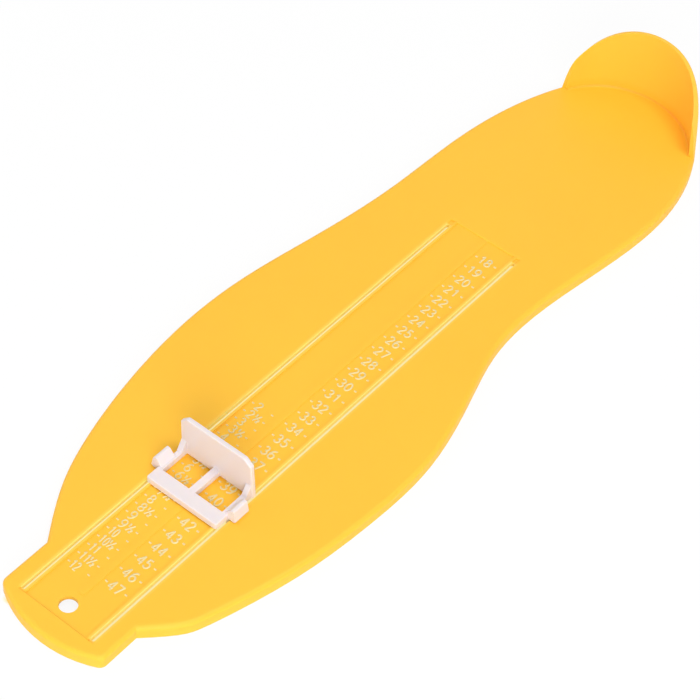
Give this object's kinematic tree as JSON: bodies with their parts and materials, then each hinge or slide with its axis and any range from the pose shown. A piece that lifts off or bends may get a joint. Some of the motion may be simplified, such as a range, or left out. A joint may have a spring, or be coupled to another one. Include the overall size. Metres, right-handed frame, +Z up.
{
  "type": "foot measuring device",
  "caption": "Foot-shaped measuring board with a raised heel cup, a sunk scale strip between two long slots, and a sliding toe plate with windows that frame the sizes.",
  "frame": {"origin": "on the surface that the board stands on, straight below the foot of the inner heel wall, on the line midway between the two slots", "axes": "+Y along the board from the heel to the toes, +Z up out of the board, +X across the board to the outer side of the foot"},
  "size_m": [0.1028, 0.3396, 0.0366],
  "materials": {
    "board": "satin gloss, injection moulded",
    "slider": "satin gloss, injection moulded"
  },
  "bodies": {
    "board": {"foot_board": "board"},
    "slider": {"slider": "slider"}
  },
  "joints": [
    {"name": "toe_slide", "type": "slide", "parent": "board", "child": "slider", "axis": [0, 1, 0], "range_m": [-0.1494, 0.0617]}
  ]
}
